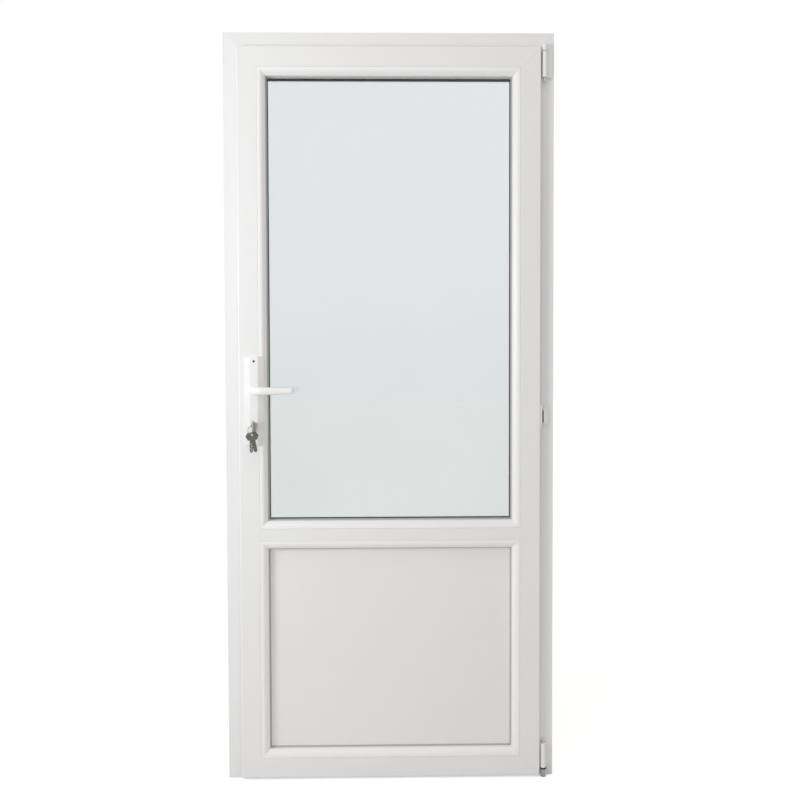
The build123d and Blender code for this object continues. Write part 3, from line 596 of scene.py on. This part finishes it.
def circle(centre, side, up, radius):
    """Round ring about a centre, along two directions."""
    return [centre + (side * math.cos(turn) + up * math.sin(turn)) * radius for turn in RING_TURNS]


def oval(centre, side, up, half_side, half_up):
    """Soft-cornered oval ring about a centre, along two directions."""
    ring = []
    for turn in RING_TURNS:
        c, s = math.cos(turn), math.sin(turn)
        wide = math.copysign(abs(c) ** (2 / OVAL_SQUARENESS), c)
        high = math.copysign(abs(s) ** (2 / OVAL_SQUARENESS), s)
        ring.append(centre + side * half_side * wide + up * half_up * high)
    return ring


print("rings of", RING_POINTS, "points")

# %% [markdown]
# ## Levers
# Each lever is a casting: a round collar at the plate, a neck, a quarter bend and
# a grip that thins towards a rounded tip. The drawing has the same line with a
# bevelled section. A soft oval section catches the light better, so rings of that
# shape follow the line. The collar is given as depth and radius in mm.

# %% The line of a lever
COLLAR_STATIONS = ((10.8, 9.4), (11.1, 10.0), (11.6, 10.3), (14.9, 10.3), (15.5, 10.0), (15.8, 9.3))
NECK_SHARES = (0.12, 0.3, 0.6, 1.0)
NECK_HALF_SIDE = 8.6 * MM
NECK_HALF_HEIGHT = 8.8 * MM
LEVER_REACH = 52 * MM
ELBOW_RADIUS = 26 * MM
ELBOW_STEPS = 9
GRIP_HALF_THICKNESS = 6.9 * MM
GRIP_TAPER = math.tan(math.radians(1.5))
GRIP_STEPS = 10
TIP_ROUND = 5 * MM
TIP_STEPS = 6
TIP_END_SHARE = 0.45


def lever_rings(seat, out, along, half_height, length):
    """Rings of a lever from the face of the leaf to the tip of its grip."""
    up = along.cross(out)
    up = up if up.z > 0 else -up
    rings = [circle(seat + out * depth * MM, along, up, radius * MM)
             for depth, radius in COLLAR_STATIONS]
    neck_start = COLLAR_STATIONS[-1][0] * MM
    bend_start = LEVER_REACH - ELBOW_RADIUS
    for share in NECK_SHARES:
        depth = neck_start + share * (bend_start - neck_start)
        slim = GRIP_HALF_THICKNESS + (NECK_HALF_SIDE - GRIP_HALF_THICKNESS) * (1 - share) ** 3
        tall = half_height + (NECK_HALF_HEIGHT - half_height) * (1 - share) ** 2
        rings.append(oval(seat + out * depth, along, up, slim, tall))
    centre = seat + out * bend_start + along * ELBOW_RADIUS
    for step in range(1, ELBOW_STEPS + 1):
        turn = math.pi / 2 * step / ELBOW_STEPS
        side = along * math.cos(turn) - out * math.sin(turn)
        rings.append(oval(centre - side * ELBOW_RADIUS, side, up, GRIP_HALF_THICKNESS, half_height))
    grip_start = centre + out * ELBOW_RADIUS
    straight = length - ELBOW_RADIUS - TIP_ROUND
    places = [straight * step / GRIP_STEPS for step in range(1, GRIP_STEPS + 1)]
    places += [straight + TIP_ROUND * math.sin(math.pi / 2 * step / TIP_STEPS)
               for step in range(1, TIP_STEPS + 1)]
    for place in places:
        beyond = max(0.0, place - straight) / TIP_ROUND
        tip = TIP_END_SHARE + (1 - TIP_END_SHARE) * math.sqrt(max(0.0, 1 - beyond ** 2))
        rings.append(oval(grip_start + along * place, -out, up,
                          (GRIP_HALF_THICKNESS - GRIP_TAPER * place) * tip,
                          (half_height - GRIP_TAPER * place) * tip))
    return rings


print("lever reaches out", round(LEVER_REACH, 3), "m")

# %% [markdown]
# Both levers sit on the lock's spindle and stand for the drawn ones. The one
# outside is smaller and hangs a few degrees lower.

# %% Make both levers
spindle_low, spindle_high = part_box("lever_spindle")
spindle = (spindle_low + spindle_high) / 2
stile_low, stile_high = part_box("leaf_lock_stile")
OUTSIDE_DROOP = math.radians(3.5)
DROOPING = Vector((math.cos(OUTSIDE_DROOP), 0, -math.sin(OUTSIDE_DROOP)))
LEVERS = {
    # where: face of the leaf, way out, way along the grip, half height and length
    "inside": (stile_low.y, IN, RIGHT, 10.2 * MM, 108 * MM),
    "outside": (stile_high.y, OUT, DROOPING, 7.4 * MM, 90 * MM),
}
for where, (face, out, along, half_height, length) in LEVERS.items():
    rings = lever_rings(Vector((spindle.x, face, spindle.z)), out, along, half_height, length)
    grip = add_piece(where + "_lever_casting", lofts([rings]), white_lacquer, "lever")
    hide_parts(where + "_lever")
    print(grip.name, len(grip.data.polygons), "faces")

# %% [markdown]
# ## Handle plates
# The long plates are pressed metal: a flat middle, two sloping flanks and softly
# rounded edges. The flank away from the hinges slopes less than the one beside
# the glass. Rounding the drawn solid's edges would need many small faces, so the
# plate is lofted again from end to end; each ridge is made soft by taking the
# mean depth of a few places beside each other.

# %% Outlines of a plate
PLATE_FLAT_SHARE = 0.43
PLATE_EDGE_SHARES = (0.7, 0.2)
PLATE_STEPS = 48
PLATE_THINNEST = 0.3 * MM
RIDGE_SOFTNESS = 0.06
RIDGE_SAMPLES = 9
END_ROUND = 2.5 * MM
END_SHARES = (0, 0.12, 0.35, 0.65, 1)
END_NARROWING = 1 / 3


def flank_depth(across):
    """Share of the full thickness before the ridges are softened."""
    edge = PLATE_EDGE_SHARES[0] if across < 0 else PLATE_EDGE_SHARES[1]
    return min(1.0, edge + (1 - edge) * (1 - abs(across)) / (1 - PLATE_FLAT_SHARE))


def plate_depth(across):
    """Share of the full thickness at a place from -1 to 1 across the plate."""
    spots = [across + RIDGE_SOFTNESS * (2 * step / (RIDGE_SAMPLES - 1) - 1)
             for step in range(RIDGE_SAMPLES)]
    return sum(flank_depth(min(1, max(-1, spot))) for spot in spots) / RIDGE_SAMPLES


def plate_rings(low, high, out):
    """Outlines of a handle plate from its lower to its upper end."""
    back = high.y if out.y < 0 else low.y
    thickness, half = high.y - low.y, (high.x - low.x) / 2
    middle, tall = (low.x + high.x) / 2, high.z - low.z
    ends = [share * END_ROUND for share in END_SHARES]
    rings = []
    for place in ends + [tall - end for end in reversed(ends)]:
        inset = min(place, tall - place, END_ROUND)
        drop = END_ROUND - math.sqrt(END_ROUND ** 2 - (END_ROUND - inset) ** 2)
        z = low.z + place
        ring = []
        for step in range(PLATE_STEPS + 1):
            across = 2 * step / PLATE_STEPS - 1
            depth = max(PLATE_THINNEST, thickness * plate_depth(across) - drop)
            x = middle + across * (half - drop * END_NARROWING)
            ring.append(Vector((x, back + out.y * depth, z)))
        ring += [Vector((ring[-1].x, back, z)), Vector((ring[0].x, back, z))]
        rings.append(ring)
    return rings


print("plate of", PLATE_STEPS, "strips")

# %% [markdown]
# Near each end a deep hole takes a screw. A Boolean cuts such a hole more cleanly
# than rings could; its result is kept as the mesh and the cutter is removed.

# %% Make both plates
SCREW_INSET = 13 * MM
SCREW_HOLE_RADIUS = 3.2 * MM
SCREW_HOLE_DEPTH = 6 * MM


def cut_holes(piece, places, out, radius, depth):
    """Cut round blind holes into a piece with a Boolean, and keep the result."""
    rows = [[circle(place + out * reach, RIGHT, UP, radius) for reach in (-depth, depth)]
            for place in places]
    cutter = bpy.data.objects.new("hole_cutter", shape_mesh("hole_cutter", lofts(rows)))
    bpy.context.scene.collection.objects.link(cutter)
    cut = piece.modifiers.new("screw_holes", "BOOLEAN")
    cut.operation, cut.solver, cut.object = "DIFFERENCE", "EXACT", cutter
    bpy.context.view_layer.update()
    shown = piece.evaluated_get(bpy.context.evaluated_depsgraph_get())
    result = bpy.data.meshes.new_from_object(shown)
    piece.modifiers.remove(cut)
    piece.data = result
    bpy.data.objects.remove(cutter)
    piece.data.set_sharp_from_angle(angle=SHARP_ANGLE)


plate_screw_places = {}
for where, out in (("inside", IN), ("outside", OUT)):
    low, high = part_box(where + "_handle_plate")
    shape = lofts([plate_rings(low, high, out)])
    plate = add_piece(where + "_plate_pressing", shape, white_lacquer, "leaf")
    front = low.y if out.y < 0 else high.y
    plate_screw_places[where] = [Vector(((low.x + high.x) / 2, front, z))
                                 for z in (low.z + SCREW_INSET, high.z - SCREW_INSET)]
    cut_holes(plate, plate_screw_places[where], out, SCREW_HOLE_RADIUS, SCREW_HOLE_DEPTH)
    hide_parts(where + "_handle_plate")
    print(plate.name, len(plate.data.polygons), "faces")

# %% [markdown]
# ## Screws
# A screw head is a low dome with a cross pressed into it. Rings from the middle
# outwards make the dome; wherever a point of a ring falls inside one of the four
# arms of the cross it is pushed down. One function serves every screw on the
# door, and each group of screws is one piece. Sizes are shares of the radius.

# %% A screw, and the two in each plate
CROSS_ARM = 0.15
CROSS_REACH = 0.62
CROSS_DEPTH = 0.45
DOME_HEIGHT = 0.28
HEAD_SHARES = (0.06, 0.14, 0.22, 0.34, 0.48, 0.6, 0.66, 0.8, 0.92, 1.0)
HEAD_SUNK = 0.6 * MM
PLATE_SCREW_RADIUS = 3.0 * MM
PLATE_SCREW_RECESS = 4.2 * MM


def screw_rings(place, normal, radius):
    """Rings of a cross-recessed screw head that stands on a place."""
    side = normal.orthogonal().normalized()
    up = normal.cross(side)
    rings = []
    for share in HEAD_SHARES:
        ring = []
        for turn in RING_TURNS:
            a, b = share * math.cos(turn), share * math.sin(turn)
            height = DOME_HEIGHT * (1 - share ** 2)
            if min(abs(a), abs(b)) < CROSS_ARM and share < CROSS_REACH:
                height -= CROSS_DEPTH
            ring.append(place + (side * a + up * b) * radius + normal * (height * radius))
        rings.append(ring)
    rings.append([point - normal * HEAD_SUNK for point in rings[-1]])
    return rings


def add_screws(name, places, normal, radius, material, body):
    """One piece with a screw head at each place."""
    shape = lofts([screw_rings(place, normal, radius) for place in places])
    add_piece(name, shape, material, body)
    print(name, len(places), "screws")


for where, out in (("inside", IN), ("outside", OUT)):
    sunk_places = [place - out * PLATE_SCREW_RECESS for place in plate_screw_places[where]]
    # Screw heads in near-black steel: painted shade of their recesses.
    add_screws(where + "_plate_screws", sunk_places, out, PLATE_SCREW_RADIUS, painted_shade_steel,
               "leaf")

# %% [markdown]
# The edge of the leaf, the jamb and the threshold take plated screws. They are
# only seen when the door stands open.

# %% Screws of the lock and the threshold
LOCK_SCREW_RADIUS = 3.4 * MM
FACEPLATE_SHARES = (0.015, 0.2, 0.4, 0.62, 0.8, 0.985)
STRIKE_INSET = 14 * MM
STRIKE_MIDDLE_RISE = 12 * MM
THRESHOLD_SCREW_RADIUS = 3.6 * MM
THRESHOLD_SCREW_INSET = 40 * MM
THRESHOLD_SCREW_PLACES = (-0.30, -0.05, 0.20)

low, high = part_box("lock_faceplate")
lock_y = (low.y + high.y) / 2
heights = [low.z + share * (high.z - low.z) for share in FACEPLATE_SHARES]
add_screws("faceplate_screws", [Vector((low.x, lock_y, z)) for z in heights],
           -RIGHT, LOCK_SCREW_RADIUS, zinc_plate, "leaf")
low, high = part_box("strike_plate")
heights = [low.z + STRIKE_INSET, (low.z + high.z) / 2 + STRIKE_MIDDLE_RISE, high.z - STRIKE_INSET]
add_screws("strike_screws", [Vector((high.x, lock_y, z)) for z in heights],
           RIGHT, LOCK_SCREW_RADIUS, zinc_plate, "frame")
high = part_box("threshold")[1]
places = [Vector((x, high.y - THRESHOLD_SCREW_INSET, high.z)) for x in THRESHOLD_SCREW_PLACES]
add_screws("threshold_screws", places, UP, THRESHOLD_SCREW_RADIUS, zinc_plate, "frame")

# %% [markdown]
# ## Welded corners
# The bars are cut at 45 degrees and welded under heat. The weld is trimmed flat,
# but it leaves a line that can just be felt. It is drawn here as a very low ridge
# along each mitre, on both faces. A line runs between two distances from the
# outer corner, the same along X and Z.

# %% Weld lines of the frame and of the leaf
WELD_HALF_WIDTH = 1.1 * MM
WELD_HEIGHT = 0.45 * MM
WELD_STEPS = 8
FRAME_IN_WELD = (1 * MM, 43 * MM)
FRAME_OUT_ENDS = (1 * MM, 2 * MM)
LEAF_IN_WELD = (2.5 * MM, 53 * MM)
LEAF_OUT_WELD = (20.5 * MM, 72 * MM)


def weld_rings(start, end, normal):
    """Rings of a low ridge from start to end on a face with this normal."""
    across = (end - start).cross(normal).normalized()
    outline = []
    for step in range(WELD_STEPS + 1):
        turn = math.pi * step / WELD_STEPS
        outline.append(across * WELD_HALF_WIDTH * math.cos(turn) + normal * WELD_HEIGHT * math.sin(turn))
    outline += [outline[-1] - normal * WELD_HEIGHT, outline[0] - normal * WELD_HEIGHT]
    return [[end_point + spot for spot in outline] for end_point in (start, end)]


def add_welds(name, lines, body):
    """One piece with a weld ridge along each line."""
    add_piece(name, lofts([weld_rings(*line) for line in lines]), upright_plastic, body)
    print(name, len(lines), "lines")


def mitre_line(corner, step, ends, normal):
    """A line from a corner along its mitre, between two distances."""
    return corner + step * ends[0], corner + step * ends[1], normal


head_low, head_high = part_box("frame_head")
frame_out_weld = (FRAME_OUT_ENDS[0], head_high.z - head_low.z - FRAME_OUT_ENDS[1])
frame_lines, leaf_lines = [], []
for side in (-1, 1):
    step = Vector((-side, 0, -1))
    for y, normal, ends in ((head_low.y, IN, FRAME_IN_WELD), (head_high.y, OUT, frame_out_weld)):
        frame_lines.append(mitre_line(Vector((side * head_high.x, y, head_high.z)), step, ends, normal))
    for z, rise in ((stile_high.z, -1), (stile_low.z, 1)):
        step = Vector((-side, 0, rise))
        for y, normal, ends in ((stile_low.y, IN, LEAF_IN_WELD), (stile_high.y, OUT, LEAF_OUT_WELD)):
            leaf_lines.append(mitre_line(Vector((side * -stile_low.x, y, z)), step, ends, normal))
add_welds("frame_welds", frame_lines, "frame")
add_welds("leaf_welds", leaf_lines, "leaf")

# %% [markdown]
# The middle rail is welded into the stiles with a pointed end, so its weld is a V.

# %% Weld lines of the middle rail
MID_RAIL_HALF = 16.5 * MM
V_DEPTH = 14 * MM
rail_low, rail_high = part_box("leaf_mid_rail")
rail_z = (rail_low.z + rail_high.z) / 2
lines = []
for side in (-1, 1):
    tip = Vector((side * (rail_high.x + V_DEPTH), stile_low.y, rail_z))
    for end in (-1, 1):
        root = Vector((side * rail_high.x, stile_low.y, rail_z + end * MID_RAIL_HALF))
        lines.append((root, tip, IN))
add_welds("rail_welds", lines, "leaf")

# %% [markdown]
# ## Keys and lock
# The keys have drilled dimples along their blades, and the plug of the lock sits
# in its housing with a fine turned rim. Both are turned shapes: rings about an
# axis, given as a share of the radius and a height in mm. A dimple is a shallow
# bright cup, lofted like the screws.

# %% Make the key's dimples
DIMPLE_RADIUS = 1.6 * MM
DIMPLE_STATIONS = ((1.0, 0.0), (1.0, 0.12), (0.86, 0.14), (0.3, 0.03))
DIMPLE_PLACES = ((1.4, 5), (-1.4, 11), (1.4, 17), (-1.4, 23))


def turned_rings(place, normal, radius, stations):
    """Rings of a turned shape that stands on a place."""
    side = normal.orthogonal().normalized()
    up = normal.cross(side)
    return [circle(place + normal * height * MM, side, up, radius * share)
            for share, height in stations]


low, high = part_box("spare_key")
dimples = [Vector(((low.x + high.x) / 2 + aside * MM, low.y, low.z + rise * MM))
           for aside, rise in DIMPLE_PLACES]
rows = [turned_rings(place, IN, DIMPLE_RADIUS, DIMPLE_STATIONS) for place in dimples]
add_piece("key_dimples", lofts(rows), zinc_plate, "leaf")
print("dimples", len(dimples))

# %% [markdown]
# The rim has a hole in it, so its last ring joins the first one instead of being
# closed by an end face.

# %% Make the rims of the lock's plug
PLUG_RADIUS = 7.0 * MM
RIM_STATIONS = ((0.86, -0.4), (0.86, 0.18), (0.9, 0.34), (0.97, 0.34), (1.0, 0.16), (1.0, -0.4))
cylinder_low, cylinder_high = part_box("lock_cylinder")
plug_z = cylinder_high.z - (cylinder_high.x - cylinder_low.x) / 2
for where, y, normal in (("inside", cylinder_low.y, IN), ("outside", cylinder_high.y, OUT)):
    rings = turned_rings(Vector((spindle.x, y, plug_z)), normal, PLUG_RADIUS, RIM_STATIONS)
    faces = []
    for row in range(len(rings)):
        here, beside = row * RING_POINTS, (row + 1) % len(rings) * RING_POINTS
        for step in range(RING_POINTS):
            ahead = (step + 1) % RING_POINTS
            faces.append((here + step, here + ahead, beside + ahead, beside + step))
    rim = [point for ring in rings for point in ring], faces
    add_piece(where + "_plug_rim", rim, dull_nickel, "leaf")
print("two rims at", round(plug_z, 4))

# %% [markdown]
# ## Hinges and catch
# A plastic cap closes the upper end of the top hinge's barrel. It is a short
# skirt and a shallow dome, turned about the hinge's axis.

# %% Make the hinge cap
CAP_RADIUS = 6.5 * MM
CAP_STATIONS = ((1.03, -2.2), (1.05, -2.0), (1.05, 0.2), (1.0, 0.9), (0.86, 1.5), (0.6, 1.9),
                (0.25, 2.1))
arm_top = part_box("top_hinge_arm")[1].z
pin_low, pin_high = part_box("top_hinge_pin")
axis = (pin_low + pin_high) / 2
rings = turned_rings(Vector((axis.x, axis.y, arm_top)), UP, CAP_RADIUS, CAP_STATIONS)
add_piece("top_hinge_cap", lofts([rings]), white_lacquer, "leaf")
print("hinge cap at", round(arm_top, 4))

# %% [markdown]
# The lower bearing turns on a ribbed sleeve of bright metal; the gaps between
# its ribs show the bearing's near-black steel, a painted shade. Each rib is a
# slim rounded bar around the bearing.

# %% Make the ribs of the lower bearing
RIB_COUNT = 9
RIB_RADIUS = 1.5 * MM
RIB_CIRCLE = 7.0 * MM
RIB_RISE = 1.5 * MM
RIB_STATIONS = ((0.4, 0.0), (1.0, 0.5), (1.0, 18.0), (0.4, 18.5))
rib_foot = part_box("bottom_hinge_bearing")[0].z + RIB_RISE
rows = []
for step in range(RIB_COUNT):
    turn = 2 * math.pi * step / RIB_COUNT
    place = Vector((axis.x + RIB_CIRCLE * math.cos(turn), axis.y + RIB_CIRCLE * math.sin(turn), rib_foot))
    rows.append(turned_rings(place, UP, RIB_RADIUS, RIB_STATIONS))
add_piece("bearing_ribs", lofts(rows), zinc_plate, "frame")
print(RIB_COUNT, "ribs")

# %% [markdown]
# The catch in the middle of the hinge side holds the leaf against the wind. Its
# steel tongue stands in the slot between the leaf's cam and the keeper: a slim
# bar with rounded ends, painted near-black as the shade in the slot.

# %% Make the tongue of the catch
TONGUE_HALF_WIDTH = 1.6 * MM
TONGUE_HALF_DEPTH = 2.5 * MM
TONGUE_STATIONS = ((0.5, 0.0), (0.85, 0.4), (1.0, 1.2), (1.0, 29.8), (0.85, 30.6), (0.5, 31.0))
TONGUE_ASIDE = 0.4 * MM
TONGUE_INSET = 3.2 * MM
cam_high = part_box("catch_cam")[1]
keeper_low, keeper_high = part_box("catch_keeper")
tongue_foot = Vector(((cam_high.x + keeper_low.x) / 2 + TONGUE_ASIDE, keeper_low.y + TONGUE_INSET,
                      (keeper_low.z + keeper_high.z - TONGUE_STATIONS[-1][1] * MM) / 2))
rings = [oval(tongue_foot + UP * rise * MM, RIGHT, OUT,
              TONGUE_HALF_WIDTH * share, TONGUE_HALF_DEPTH * share)
         for share, rise in TONGUE_STATIONS]
# The tongue's near-black steel is a painted shade of the slot.
add_piece("catch_tongue", lofts([rings]), painted_shade_steel, "frame")
print("tongue at", [round(value, 4) for value in tongue_foot])
